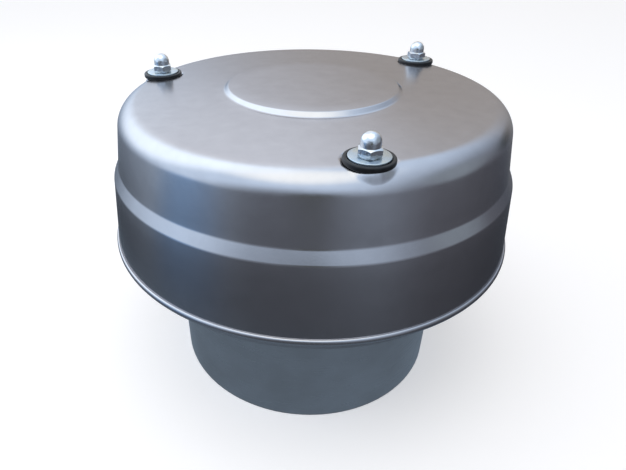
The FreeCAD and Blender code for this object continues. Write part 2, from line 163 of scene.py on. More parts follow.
# The floor is lifted a little for the camera alone, so that it is white round the valve's own shadow.
# It is clear from below, so that the valve's underside can be looked at.
floor_width = 30.0
floor_lift_strength = 0.27
bpy.ops.object.select_all(action="DESELECT")
bpy.ops.mesh.primitive_plane_add(size=floor_width)
floor = bpy.context.object
floor.name = "floor"
floor.visible_glossy = False
paint = bpy.data.materials.new("matt white floor paint")
paint.use_nodes = True
paint_shader = paint.node_tree.nodes["Principled BSDF"]
paint_shader.inputs["Base Color"].default_value = linear("#f4f4f5")
paint_shader.inputs["Roughness"].default_value = 0.9
floor_path = add(paint.node_tree, "ShaderNodeLightPath")
lift_seen = add(paint.node_tree, "ShaderNodeMath", {
    0: floor_path.outputs["Is Camera Ray"],
    1: floor_lift_strength,
}, operation="MULTIPLY")
floor_lift = add(paint.node_tree, "ShaderNodeEmission", {
    "Color": linear("#ffffff"),
    "Strength": lift_seen.outputs["Value"],
})
floor_sum = add(paint.node_tree, "ShaderNodeAddShader", {
    0: paint_shader.outputs["BSDF"],
    1: floor_lift.outputs["Emission"],
})
floor_side = add(paint.node_tree, "ShaderNodeNewGeometry")
clear = add(paint.node_tree, "ShaderNodeBsdfTransparent")
floor_surface = add(paint.node_tree, "ShaderNodeMixShader", {
    "Fac": floor_side.outputs["Backfacing"],
    1: floor_sum.outputs["Shader"],
    2: clear.outputs["BSDF"],
})
paint_output = paint.node_tree.nodes["Material Output"]
paint.node_tree.links.new(floor_surface.outputs["Shader"], paint_output.inputs["Surface"])
floor.data.materials.append(paint)

# Each patch of light or shade on the tent: its direction, from the back round to the right and then
# upwards, the angles at which it is whole and at which it has faded out, its brightness and its colour
tent_r = 4.0
tent_cloth = (1.49, "#d1e6ff")
tent_patches = [
    ("light from above", -146, 77, 0.5, 39, 1.92, "#f7fdff"),
    ("window", -43, 41, 22, 50, 2.35, "#e1f0ff"),
    ("blue light below the window", -100, -22, 9, 28, 1.26, "#a2ccff"),
    ("dim right side", 105, -25, 5, 96, 0.21, "#e7ebff"),
    ("dim front", -156, -21, 0.3, 61, 0.25, "#e0eaff"),
    ("opening for the camera", -168, 0, 2, 17, 0.14, "#f1fbff"),
    ("dark gap at the right", 68, 2, 1, 14, 0.1, "#def3ff"),
    ("dark room at the front right", 113, 13, 6, 27, 0.49, "#ddeeff"),
    ("brown wall behind", 29, 7, 1.5, 45, 0.65, "#fff8f1"),
    ("pale wall behind", -3, 42, 0.7, 34, 1.32, "#edf4ff"),
    ("dark floor", -17, -82, 48.5, 97, 0.06, "#e0eaff"),
]
bpy.ops.object.select_all(action="DESELECT")
bpy.ops.mesh.primitive_uv_sphere_add(segments=48, ring_count=24, radius=tent_r, location=valve_middle)
tent = bpy.context.object
tent.name = "light_tent"
tent_material = bpy.data.materials.new("white tent cloth, lit from outside")
tent_material.use_nodes = True
tent_material.cycles.emission_sampling = "NONE"
tree = tent_material.node_tree
tree.nodes.clear()
place = add(tree, "ShaderNodeTexCoord")
direction = add(tree, "ShaderNodeVectorMath", {0: place.outputs["Object"]}, operation="NORMALIZE")
brightness, colour = tent_cloth
cloth = add(tree, "ShaderNodeEmission", {"Color": linear(colour), "Strength": brightness})
cloth_light = cloth.outputs["Emission"]
for label, turn, rise, whole, faded, brightness, colour in tent_patches:
    turn, rise = math.radians(turn), math.radians(rise)
    towards = (math.sin(turn) * math.cos(rise), math.cos(turn) * math.cos(rise), math.sin(rise))
    nearness = add(tree, "ShaderNodeVectorMath", {
        0: direction.outputs["Vector"],
        1: towards,
    }, operation="DOT_PRODUCT")
    share = add(tree, "ShaderNodeMapRange", {
        "Value": nearness.outputs["Value"],
        "From Min": math.cos(math.radians(faded)),
        "From Max": math.cos(math.radians(whole)),
    }, interpolation_type="SMOOTHSTEP")
    patch = add(tree, "ShaderNodeEmission", {
        "Color": linear(colour),
        "Strength": brightness,
    }, label=label)
    cloth_light = add(tree, "ShaderNodeMixShader", {
        "Fac": share.outputs["Result"],
        1: cloth_light,
        2: patch.outputs["Emission"],
    }).outputs["Shader"]
add(tree, "ShaderNodeOutputMaterial", {"Surface": cloth_light})
tent.data.materials.append(tent_material)

# A disc under the valve, which fades out at its edge and shows only as a reflection in the spigot.
# It takes no light from the lamps: its dim blue-grey glow is painted light, standing in for the floor
# in the hood's shade.
glow_disc_r = 0.5
glow_disc_whole_r = 0.22
glow_disc_faded_r = 0.45
glow_disc_place = (-0.06, 0, 0.4 * mm)
bpy.ops.object.select_all(action="DESELECT")
bpy.ops.mesh.primitive_circle_add(vertices=64, radius=glow_disc_r, fill_type="NGON", location=glow_disc_place)
glow_disc = bpy.context.object
glow_disc.name = "shaded_floor_glow_disc"
glow_disc_material = bpy.data.materials.new("painted glow of the shaded floor")
glow_disc_material.use_nodes = True
glow_disc_material.cycles.emission_sampling = "NONE"
tree = glow_disc_material.node_tree
tree.nodes.clear()
place = add(tree, "ShaderNodeTexCoord")
distance = add(tree, "ShaderNodeVectorMath", {0: place.outputs["Object"]}, operation="LENGTH")
fade = add(tree, "ShaderNodeMapRange", {
    "Value": distance.outputs["Value"],
    "From Min": glow_disc_whole_r,
    "From Max": glow_disc_faded_r,
}, interpolation_type="SMOOTHSTEP")
# The painted glow of the shaded floor, as the spigot reflects it
painted_floor_glow = add(tree, "ShaderNodeEmission", {"Color": linear("#cce5ff"), "Strength": 0.28})
nothing = add(tree, "ShaderNodeBsdfTransparent")
sheet = add(tree, "ShaderNodeMixShader", {
    "Fac": fade.outputs["Result"],
    1: painted_floor_glow.outputs["Emission"],
    2: nothing.outputs["BSDF"],
})
add(tree, "ShaderNodeOutputMaterial", {"Surface": sheet.outputs["Shader"]})
glow_disc.data.materials.append(glow_disc_material)
for reflected in (tent, glow_disc):
    reflected.visible_camera = False
    reflected.visible_diffuse = False
    reflected.visible_transmission = False
    reflected.visible_shadow = False

# Hood: stainless sheet, deep drawn, with a raised centre disc, a shoulder round its wall and a rolled
# rim. It rests on three studs and is pressed flat round each, for the sealing washers.
hood_wall = 1.5
stud_circle_r = 153.0
stud_spacing = 120
stud_angles = [math.radians(-90 + stud_spacing * index) for index in range(3)]
stud_hole_r = 5.5
stud_hole_sides = 40
pad_z = 277.0
pad_seat_r = 18.0
pad_seat_blend = 2.2
pad_front_r = 14.0
pad_front_blend = 6.0
pad_fine_r = 25.5
pad_cuts = 3
disc_foot = (79.3, 281.1)
top_corner = (171.0, 277.0)
shoulder_top = (178.7, 226.2)
rim = (190.2, 152.2)
rim_bead_height = 6.0
rim_bead_depth = 3.2
rim_bead_out = 1.9
rim_bead_steps = 240
rim_bead_sides = 18
pad_near_r = 126.0
pad_low_z = 246.0
hood_steps = 264
top_slope = (top_corner[1] - disc_foot[1]) / (top_corner[0] - disc_foot[0])
wall_slope = (shoulder_top[0] - top_corner[0]) / (shoulder_top[1] - top_corner[1])

# Each point is a radius and a height, then how far its rounding reaches and the rounding's segments
hood_outline = [
    (0.0, 284.8, 0, 0),
    (75.8, 284.8, 0.81, 5),
    (*disc_foot, 1.32, 5),
    (pad_near_r, disc_foot[1] + top_slope * (pad_near_r - disc_foot[0]), 0, 0),
    (*top_corner, 15.1, 26),
    (top_corner[0] + wall_slope * (pad_low_z - top_corner[1]), pad_low_z, 0, 0),
    (*shoulder_top, 0.98, 5),
    (183.8, 216.1, 1.07, 5),
    (*rim, 0, 0),
]

# Long stretches of the outline are divided: each has its radii, its heights and the number of cuts.
# The disc's begins just behind the axis.
outline_cuts = [
    ((79.5, 127.0), (276.0, 285.0), 4),
    ((125.0, 156.0), (277.0, 285.0), 9),
    ((168.0, 180.0), (245.0, 262.5), 6),
    ((-0.1, 75.1), (276.0, 285.0), 4),
    ((168.0, 180.0), (227.0, 246.5), 2),
    ((182.0, 192.0), (150.0, 215.2), 4),
]


def start_material(name):
    """A new material, with its node tree and its shader."""
    material = bpy.data.materials.new(name)
    material.use_nodes = True
    return material, material.node_tree, material.node_tree.nodes["Principled BSDF"]


def select_points(mesh, chosen):
    """Selects the vertices of a mesh in edit mode whose place passes a test."""
    points = bmesh.from_edit_mesh(mesh)
    for edge in points.edges:
        edge.select = False
    for face in points.faces:
        face.select = False
    for point in points.verts:
        point.select = chosen(point.co)
    points.select_flush_mode()
    bmesh.update_edit_mesh(mesh)


def near(place, reach=0.01 * mm):
    """A test for points that lie at a place."""
    return lambda point: (point - Vector(place)).length < reach


def draw_outline(name, outline):
    """Draws a line through radii and heights in millimetres from one vertex, and rounds its corners."""
    bpy.ops.object.select_all(action="DESELECT")
    start = (outline[0][0] * mm, 0, outline[0][1] * mm)
    bpy.ops.mesh.primitive_plane_add(size=mm, location=start)
    drawn = bpy.context.object
    drawn.name = name
    bpy.ops.object.transform_apply(location=True, rotation=True, scale=True)
    bpy.ops.object.mode_set(mode="EDIT")
    bpy.ops.mesh.merge(type="CENTER")
    for here, ahead in zip(outline, outline[1:]):
        move = ((ahead[0] - here[0]) * mm, 0, (ahead[1] - here[1]) * mm)
        bpy.ops.mesh.extrude_vertices_move(TRANSFORM_OT_translate={"value": move})
    bpy.ops.mesh.select_mode(type="VERT")
    for radius, height, reach, segments in outline:
        if reach:
            select_points(drawn.data, near((radius * mm, 0, height * mm)))
            bpy.ops.mesh.bevel(offset=reach * mm, affect="VERTICES", segments=segments)
    bpy.ops.object.mode_set(mode="OBJECT")
    return drawn


def divide_stretch(drawn, radii, heights, cuts):
    """Divides the edges of a drawn line whose ends lie between two radii and two heights."""
    bpy.ops.object.mode_set(mode="EDIT")
    (low_r, high_r), (low_z, high_z) = radii, heights
    select_points(
        drawn.data,
        lambda point: low_r < point.x / mm < high_r and low_z < point.z / mm < high_z,
    )
    bpy.ops.mesh.subdivide(number_cuts=cuts)
    bpy.ops.object.mode_set(mode="OBJECT")


def select_only(piece):
    """Selects one piece alone and makes it the active one."""
    bpy.ops.object.select_all(action="DESELECT")
    piece.select_set(True)
    bpy.context.view_layer.objects.active = piece


def apply_modifier(piece, kind, **settings):
    """Adds a modifier with its settings and applies it."""
    select_only(piece)
    modifier = piece.modifiers.new(kind.lower(), kind)
    for name, value in settings.items():
        setattr(modifier, name, value)
    bpy.ops.object.modifier_apply(modifier=modifier.name)


def at_stud(angle, height):
    """The place on a stud's axis at a height in millimetres."""
    return Vector((stud_circle_r * math.cos(angle), stud_circle_r * math.sin(angle), height)) * mm


merge_reach = 0.001 * mm


def recalculate_normals(piece):
    """Merges a piece's doubled points and turns its faces outwards."""
    select_only(piece)
    bpy.ops.object.mode_set(mode="EDIT")
    bpy.ops.mesh.select_all(action="SELECT")
    bpy.ops.mesh.remove_doubles(threshold=merge_reach)
    bpy.ops.mesh.normals_make_consistent(inside=False)
    bpy.ops.object.mode_set(mode="OBJECT")


hood = draw_outline("weather_hood", hood_outline)
for radii, heights, cuts in outline_cuts:
    divide_stretch(hood, radii, heights, cuts)

bpy.ops.object.mode_set(mode="EDIT")
bpy.ops.mesh.select_all(action="SELECT")
bpy.ops.mesh.spin(steps=hood_steps, angle=math.tau, center=(0, 0, 0), axis=(0, 0, 1))
bpy.ops.object.mode_set(mode="OBJECT")
recalculate_normals(hood)


def select_faces(mesh, chosen):
    """Selects the faces of a mesh in edit mode whose centre passes a test."""
    shape = bmesh.from_edit_mesh(mesh)
    for point in shape.verts:
        point.select = False
    for edge in shape.edges:
        edge.select = False
    for face in shape.faces:
        face.select_set(chosen(face.calc_center_median()))
    bmesh.update_edit_mesh(mesh)


# Round each stud the sheet is divided finer, and its pad is pressed flat there. What is higher, towards
# the centre, stands close round the rubber, and the pad rises softly out of the rounded corner.
bpy.ops.object.mode_set(mode="EDIT")
for angle in stud_angles:
    stud = at_stud(angle, pad_z)
    bpy.ops.mesh.select_mode(type="FACE")
    select_faces(hood.data, lambda middle: (middle.xy - stud.xy).length < pad_fine_r * mm)
    bpy.ops.mesh.subdivide(number_cuts=pad_cuts, smoothness=1.0)
    bpy.ops.mesh.select_mode(type="VERT")
    for flat_r, blend, higher in (
        (pad_seat_r, pad_seat_blend, True),
        (pad_front_r, pad_front_blend, False),
    ):
        select_points(hood.data, lambda point: (point.z > pad_z * mm) != higher)
        bpy.ops.mesh.hide(unselected=False)
        select_points(
            hood.data,
            lambda point: (point.z > pad_z * mm) == higher
            and (point.xy - stud.xy).length < flat_r * mm,
        )
        bpy.ops.transform.resize(
            value=(1, 1, 0),
            center_override=stud,
            use_proportional_edit=True,
            proportional_edit_falloff="SMOOTH",
            proportional_size=blend * mm,
        )
        bpy.ops.mesh.reveal(select=False)
bpy.ops.object.mode_set(mode="OBJECT")
apply_modifier(hood, "SOLIDIFY", thickness=hood_wall * mm, offset=-1, use_even_offset=True)

# The rolled rim is a slightly flattened bead all round, and each pad has a hole for its stud
bpy.ops.object.select_all(action="DESELECT")
bpy.ops.mesh.primitive_torus_add(
    location=(0, 0, rim[1] * mm),
    major_radius=(rim[0] + rim_bead_out - rim_bead_depth / 2) * mm,
    minor_radius=rim_bead_depth / 2 * mm,
    major_segments=rim_bead_steps,
    minor_segments=rim_bead_sides,
)
bead = bpy.context.object
bead.scale.z = rim_bead_height / rim_bead_depth
bpy.ops.object.transform_apply(location=True, rotation=True, scale=True)
apply_modifier(hood, "BOOLEAN", operation="UNION", object=bead, solver="MANIFOLD")
bpy.data.objects.remove(bead)
for angle in stud_angles:
    bpy.ops.object.select_all(action="DESELECT")
    bpy.ops.mesh.primitive_cylinder_add(
        vertices=stud_hole_sides,
        radius=stud_hole_r * mm,
        depth=3 * hood_wall * mm,
        location=at_stud(angle, pad_z - hood_wall / 2),
    )
    drill = bpy.context.object
    apply_modifier(hood, "BOOLEAN", operation="DIFFERENCE", object=drill, solver="MANIFOLD")
    bpy.data.objects.remove(drill)
select_only(hood)
bpy.ops.object.shade_smooth_by_angle(angle=math.radians(35))

# Stainless sheet, deep drawn and then blasted fine: an even satin grey whose reflections are soft.
# Drawing leaves slow waves of a few centimetres, which make the reflections swell and narrow a little.
# The blasted grain is about 0.1 mm and is drawn as 1.8 mm, so that it shows.
satin_stainless, tree, shader = start_material("satin stainless sheet, drawn and blasted")
shader.inputs["Metallic"].default_value = 1.0
shader.inputs["Specular Tint"].default_value = linear("#dadadc")
place = add(tree, "ShaderNodeTexCoord")
waves = add(tree, "ShaderNodeTexNoise", {
    "Vector": place.outputs["Object"],
    "Scale": 1 / (48 * mm),
    "Detail": 1.0,
})
stains = add(tree, "ShaderNodeTexNoise", {
    "Vector": place.outputs["Object"],
    "Scale": 1 / (14 * mm),
    "Detail": 3.0,
})
grain = add(tree, "ShaderNodeTexNoise", {
    "Vector": place.outputs["Object"],
    "Scale": 1 / (1.8 * mm),
    "Detail": 2.0,
})
tone = add(tree, "ShaderNodeValToRGB", {"Fac": stains.outputs["Fac"]})
tone.color_ramp.elements[0].position = 0.3
tone.color_ramp.elements[0].color = linear("#bab7b8")
tone.color_ramp.elements[1].position = 0.7
tone.color_ramp.elements[1].color = linear("#bfbcbd")
tree.links.new(tone.outputs["Color"], shader.inputs["Base Color"])
soft = add(tree, "ShaderNodeMapRange", {
    "Value": grain.outputs["Fac"],
    "From Min": 0.3,
    "From Max": 0.7,
    "To Min": 0.19,
    "To Max": 0.24,
})
tree.links.new(soft.outputs["Result"], shader.inputs["Roughness"])
wavy = add(tree, "ShaderNodeBump", {
    "Height": waves.outputs["Fac"],
    "Strength": 1.0,
    "Distance": 0.06 * mm,
})
grainy = add(tree, "ShaderNodeBump", {
    "Height": grain.outputs["Fac"],
    "Normal": wavy.outputs["Normal"],
    "Strength": 1.0,
    "Distance": 0.016 * mm,
})
tree.links.new(grainy.outputs["Normal"], shader.inputs["Normal"])
hood.data.materials.clear()
hood.data.materials.append(satin_stainless)
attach(hood, "casing")
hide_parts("hood")

# Sealing washers: black rubber rings, squeezed between hood and steel washer.
# Their outer edge stands up round the steel washer as a rounded lip.
def spun(name, outline, steps):
    """A solid of revolution on the Z axis, from a closed line or one that starts and ends on it."""
    piece = draw_outline(name, outline)
    bpy.ops.object.mode_set(mode="EDIT")
    bpy.ops.mesh.select_all(action="SELECT")
    bpy.ops.mesh.spin(steps=steps, angle=math.tau, center=(0, 0, 0), axis=(0, 0, 1))
    bpy.ops.object.mode_set(mode="OBJECT")
    recalculate_normals(piece)
    return piece


def at_each_stud(piece, turns=(0, 0, 0)):
    """Copies the front stud's piece to every stud, each turned on its own axis, and joins them."""
    front = at_stud(stud_angles[0], 0)
    copies = []
    for index, turn in enumerate(turns):
        copy = piece.copy()
        copy.data = piece.data.copy()
        bpy.context.scene.collection.objects.link(copy)
        own_turn = Matrix.Rotation(math.radians(turn), 4, "Z")
        turned = Matrix.Translation(front) @ own_turn @ Matrix.Translation(-front)
        copy.data.transform(Matrix.Rotation(math.radians(stud_spacing * index), 4, "Z") @ turned)
        copies.append(copy)
    name = piece.name
    bpy.data.objects.remove(piece)
    bpy.ops.object.select_all(action="DESELECT")
    for copy in copies:
        copy.select_set(True)
    bpy.context.view_layer.objects.active = copies[0]
    bpy.ops.object.join()
    copies[0].name = name
    return copies[0]


rubber_r = 18.0
rubber_round = 1.1
rubber_thickness = 2.5
rubber_lip_height = 4.0
rubber_lip_inner_r = 15.1
rubber_lip_round = 0.8
washer_steps = 96
rubber = spun("rubber_washers", [
    (stud_hole_r, pad_z, 0, 0),
    (rubber_r, pad_z, rubber_round, 5),
    (rubber_r, pad_z + rubber_lip_height, rubber_round, 5),
    (rubber_lip_inner_r, pad_z + rubber_lip_height, rubber_lip_round, 4),
    (rubber_lip_inner_r, pad_z + rubber_thickness, 0, 0),
    (stud_hole_r, pad_z + rubber_thickness, 0, 0),
    (stud_hole_r, pad_z, 0, 0),
], washer_steps)
rubber.data.transform(Matrix.Translation(at_stud(stud_angles[0], 0)))
rubber = at_each_stud(rubber)
bpy.ops.object.shade_smooth_by_angle(angle=math.radians(40))
# Rubber sheet is pressed between cloth-faced plates, so its skin has a faint pebbled grain, which is
# about 0.3 mm and is drawn as 0.8 mm. Handling leaves paler, duller patches.
black_rubber, tree, shader = start_material("black rubber sheet, punched")
shader.inputs["Specular IOR Level"].default_value = 0.35
place = add(tree, "ShaderNodeTexCoord")
handled = add(tree, "ShaderNodeTexNoise", {
    "Vector": place.outputs["Object"],
    "Scale": 1 / (5 * mm),
    "Detail": 3.0,
})
pebbles = add(tree, "ShaderNodeTexNoise", {
    "Vector": place.outputs["Object"],
    "Scale": 1 / (0.8 * mm),
    "Detail": 1.0,
})
tone = add(tree, "ShaderNodeValToRGB", {"Fac": handled.outputs["Fac"]})
tone.color_ramp.elements[0].position = 0.35
tone.color_ramp.elements[0].color = linear("#09090b")
tone.color_ramp.elements[1].position = 0.75
tone.color_ramp.elements[1].color = linear("#1b1c1e")
tree.links.new(tone.outputs["Color"], shader.inputs["Base Color"])
dull = add(tree, "ShaderNodeMapRange", {
    "Value": handled.outputs["Fac"],
    "To Min": 0.28,
    "To Max": 0.46,
})
tree.links.new(dull.outputs["Result"], shader.inputs["Roughness"])
pebbled = add(tree, "ShaderNodeBump", {
    "Height": pebbles.outputs["Fac"],
    "Strength": 1.0,
    "Distance": 0.03 * mm,
})
tree.links.new(pebbled.outputs["Normal"], shader.inputs["Normal"])
rubber.data.materials.append(black_rubber)
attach(rubber, "casing")
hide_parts("sealing_washers")

# Steel washers: large zinc-plated washers punched from strip, which spread the nuts' load over the
# rubber. Punching leaves their top edge slightly rounded.
steel_washer_z = pad_z + rubber_thickness
steel_washer_r = 14.7
steel_washer_thickness = 2.5
steel_washer_round = 0.4
washer = spun("steel_washers", [
    (stud_hole_r, steel_washer_z, 0, 0),
    (steel_washer_r, steel_washer_z, 0, 0),
    (steel_washer_r, steel_washer_z + steel_washer_thickness, steel_washer_round, 3),
    (stud_hole_r, steel_washer_z + steel_washer_thickness, 0, 0),
    (stud_hole_r, steel_washer_z, 0, 0),
], washer_steps)
washer.data.transform(Matrix.Translation(at_stud(stud_angles[0], 0)))
washer = at_each_stud(washer)
bpy.ops.object.shade_smooth_by_angle(angle=math.radians(40))
# Bright zinc with a thin blue passivation: silvery, with faint blue and straw clouds of a few
# millimetres, over the fine scratches of tumbling. Those are 0.05 mm wide and are drawn as 0.5 mm.
zinc_plate, tree, shader = start_material("zinc-plated steel, blue passivated")
shader.inputs["Metallic"].default_value = 1.0
place = add(tree, "ShaderNodeTexCoord")
clouds = add(tree, "ShaderNodeTexNoise", {
    "Vector": place.outputs["Object"],
    "Scale": 1 / (7 * mm),
    "Detail": 2.0,
})
tumbled = add(tree, "ShaderNodeTexNoise", {
    "Vector": place.outputs["Object"],
    "Scale": 1 / (0.5 * mm),
    "Detail": 2.0,
    "Distortion": 2.0,
})
tone = add(tree, "ShaderNodeValToRGB", {"Fac": clouds.outputs["Fac"]})
tone.color_ramp.elements[0].position = 0.25
tone.color_ramp.elements[0].color = linear("#aebdc9")
tone.color_ramp.elements[1].position = 0.75
tone.color_ramp.elements[1].color = linear("#c6c8bf")
middle_tone = tone.color_ramp.elements.new(0.5)
middle_tone.color = linear("#bcc6cc")
tree.links.new(tone.outputs["Color"], shader.inputs["Base Color"])
soft = add(tree, "ShaderNodeMapRange", {
    "Value": tumbled.outputs["Fac"],
    "To Min": 0.2,
    "To Max": 0.36,
})
tree.links.new(soft.outputs["Result"], shader.inputs["Roughness"])
scratched = add(tree, "ShaderNodeBump", {
    "Height": tumbled.outputs["Fac"],
    "Strength": 1.0,
    "Distance": 0.01 * mm,
})
tree.links.new(scratched.outputs["Normal"], shader.inputs["Normal"])
washer.data.materials.append(zinc_plate)
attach(washer, "casing")
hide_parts("flat_washers")

# Domed nuts: cold-formed steel M10 cap nuts, chrome bright, screwed down on the studs by hand.
# Each has stopped at its own turn, so their flats face different ways.
nut_z = steel_washer_z + steel_washer_thickness
nut_af = 16.0
nut_face_share = 0.88
nut_collar_r = 7.0
nut_collar_height = 0.7
nut_hex_height = 6.5
nut_height = 16.5
dome_r = 7.1
dome_foot_height = 1.0
dome_tip_r = 0.01
dome_steps = 64
nut_edge_round = 0.25
hex_corner_r = nut_af / math.sqrt(3)
hex_face_r = nut_af / 2 * nut_face_share
hex_chamfer_angle = math.radians(30)
hex_low_chamfer_angle = math.radians(20)
hex_chamfer = (hex_corner_r - hex_face_r) * math.tan(hex_chamfer_angle)
hex_low_chamfer = (hex_corner_r - nut_collar_r) * math.tan(hex_low_chamfer_angle)
chamfer_steps = 96
cut_margin = 0.1
thread_hole_r = 5.0
thread_depth = 11.5
thread_hole_steps = 40
drill_margin = 1.0
nut_turns = (41.2, -3.6, 2)

bpy.ops.object.select_all(action="DESELECT")
bpy.ops.mesh.primitive_cylinder_add(
    vertices=6,
    radius=hex_corner_r * mm,
    depth=(nut_hex_height - nut_collar_height) * mm,
    location=(0, 0, (nut_z + (nut_hex_height + nut_collar_height) / 2) * mm),
)
nut = bpy.context.object
nut.name = "domed_nuts"
bpy.ops.object.transform_apply(location=True, rotation=True, scale=True)
hex_low_z = nut_z + nut_collar_height
chamfers = spun("nut_chamfers", [
    (0.0, hex_low_z, 0, 0),
    (nut_collar_r, hex_low_z, 0, 0),
    (hex_corner_r + cut_margin, hex_low_z + hex_low_chamfer + cut_margin, 0, 0),
    (hex_corner_r + cut_margin, nut_z + nut_hex_height - hex_chamfer, 0, 0),
    (hex_face_r, nut_z + nut_hex_height, 0, 0),
    (0.0, nut_z + nut_hex_height, 0, 0),
], chamfer_steps)
apply_modifier(nut, "BOOLEAN", operation="INTERSECT", object=chamfers, solver="MANIFOLD")
bpy.data.objects.remove(chamfers)
dome_top_z = nut_z + nut_height
dome = spun("nut_dome", [
    (0.0, nut_z, 0, 0),
    (nut_collar_r, nut_z, 0, 0),
    (nut_collar_r, nut_z + dome_foot_height, 0, 0),
    (dome_r, nut_z + dome_foot_height, 0, 0),
    (dome_r, dome_top_z, dome_r - dome_tip_r, 14),
    (0.0, dome_top_z, 0, 0),
], dome_steps)
apply_modifier(nut, "BOOLEAN", operation="UNION", object=dome, solver="MANIFOLD")
bpy.data.objects.remove(dome)
thread_hole = spun("nut_thread_hole", [
    (0.0, nut_z - drill_margin, 0, 0),
    (thread_hole_r, nut_z - drill_margin, 0, 0),
    (thread_hole_r, nut_z + thread_depth, 0, 0),
    (0.0, nut_z + thread_depth + thread_hole_r / 2, 0, 0),
], thread_hole_steps)
apply_modifier(nut, "BOOLEAN", operation="DIFFERENCE", object=thread_hole, solver="MANIFOLD")
bpy.data.objects.remove(thread_hole)
apply_modifier(
    nut,
    "BEVEL",
    width=nut_edge_round * mm,
    segments=2,
    limit_method="ANGLE",
    angle_limit=math.radians(25),
)
nut.data.transform(Matrix.Translation(at_stud(stud_angles[0], 0)))
nut = at_each_stud(nut, nut_turns)
bpy.ops.object.shade_smooth_by_angle(angle=math.radians(12))
nut.data.materials.clear()
# Bright plate over a tumbled nut: mirror-like, with a slightly uneven skin that breaks up its
# reflections, and rubbed duller in patches by the spanner.
chrome, tree, shader = start_material("polished chrome plate")
shader.inputs["Metallic"].default_value = 1.0
shader.inputs["Base Color"].default_value = linear("#d2d4d6")
place = add(tree, "ShaderNodeTexCoord")
uneven = add(tree, "ShaderNodeTexNoise", {
    "Vector": place.outputs["Object"],
    "Scale": 1 / (3.2 * mm),
    "Detail": 2.0,
})
rubbed = add(tree, "ShaderNodeMapRange", {
    "Value": uneven.outputs["Fac"],
    "From Min": 0.35,
    "From Max": 0.75,
    "To Min": 0.04,
    "To Max": 0.16,
})
tree.links.new(rubbed.outputs["Result"], shader.inputs["Roughness"])
skin = add(tree, "ShaderNodeBump", {
    "Height": uneven.outputs["Fac"],
    "Strength": 1.0,
    "Distance": 0.25 * mm,
})
tree.links.new(skin.outputs["Normal"], shader.inputs["Normal"])
nut.data.materials.append(chrome)
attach(nut, "casing")
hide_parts("acorn_nuts")

# Spigot and casing: a plain stub of stainless sheet, rolled round and welded, with a flange and its
# band. The tank's pipe collar holds the stub, and the studs stand on the flange.
def finish_nodes(material, *names):
    """Gives its finish to each named piece whose own shape stays."""
    for name in names:
        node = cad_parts[name]
        node.data.materials.clear()
        node.data.materials.append(material)


# Mill-finished stainless: soft grey with faint clouds, and fine marks from the rolls that run round the
# stub. Those are about 0.1 mm wide and are drawn as 0.7 mm.
rolled_stainless, tree, shader = start_material("stainless sheet, cold rolled, mill finish")
shader.inputs["Metallic"].default_value = 1.0
place = add(tree, "ShaderNodeTexCoord")
along_rolls = add(tree, "ShaderNodeVectorMath", {
    0: place.outputs["Object"],
    1: (1 / (33 * mm), 1 / (33 * mm), 1 / (0.7 * mm)),
}, operation="MULTIPLY")
roll_marks = add(tree, "ShaderNodeTexNoise", {
    "Vector": along_rolls.outputs["Vector"],
    "Scale": 1.0,
    "Detail": 2.0,
})
clouds = add(tree, "ShaderNodeTexNoise", {
    "Vector": place.outputs["Object"],
    "Scale": 1 / (38 * mm),
    "Detail": 3.0,
})
tone = add(tree, "ShaderNodeValToRGB", {"Fac": clouds.outputs["Fac"]})
tone.color_ramp.elements[0].position = 0.3
tone.color_ramp.elements[0].color = linear("#b6b4b4")
tone.color_ramp.elements[1].position = 0.7
tone.color_ramp.elements[1].color = linear("#c2c1c2")
tree.links.new(tone.outputs["Color"], shader.inputs["Base Color"])
soft = add(tree, "ShaderNodeMapRange", {
    "Value": roll_marks.outputs["Fac"],
    "To Min": 0.22,
    "To Max": 0.38,
})
tree.links.new(soft.outputs["Result"], shader.inputs["Roughness"])
marked = add(tree, "ShaderNodeBump", {
    "Height": roll_marks.outputs["Fac"],
    "Strength": 1.0,
    "Distance": 0.02 * mm,
})
tree.links.new(marked.outputs["Normal"], shader.inputs["Normal"])
finish_nodes(rolled_stainless, "spigot_tube", "casing_flange", "flange_band")

# Seats: turned stainless rings with a raised lip, one on the stub's top edge and one under the pressure
# lid. The gaskets press on them.
# Turning leaves rings about 0.1 mm apart, which are drawn 0.6 mm apart.
turned_stainless, tree, shader = start_material("stainless steel, fine turned")
shader.inputs["Metallic"].default_value = 1.0
place = add(tree, "ShaderNodeTexCoord")
tool_marks = add(tree, "ShaderNodeTexWave", {
    "Vector": place.outputs["Object"],
    "Scale": math.tau / 20 / (0.6 * mm),
    "Distortion": 1.5,
    "Detail": 1.0,
}, wave_type="RINGS", rings_direction="Z")
tone = add(tree, "ShaderNodeValToRGB", {"Fac": tool_marks.outputs["Fac"]})
tone.color_ramp.elements[0].color = linear("#b9babc")
tone.color_ramp.elements[1].color = linear("#cdced0")
tree.links.new(tone.outputs["Color"], shader.inputs["Base Color"])
soft = add(tree, "ShaderNodeMapRange", {
    "Value": tool_marks.outputs["Fac"],
    "To Min": 0.16,
    "To Max": 0.28,
})
tree.links.new(soft.outputs["Result"], shader.inputs["Roughness"])
grooved = add(tree, "ShaderNodeBump", {
    "Height": tool_marks.outputs["Fac"],
    "Strength": 1.0,
    "Distance": 0.012 * mm,
})
tree.links.new(grooved.outputs["Normal"], shader.inputs["Normal"])
finish_nodes(turned_stainless, "valve_seat", "vacuum_seat_ring")

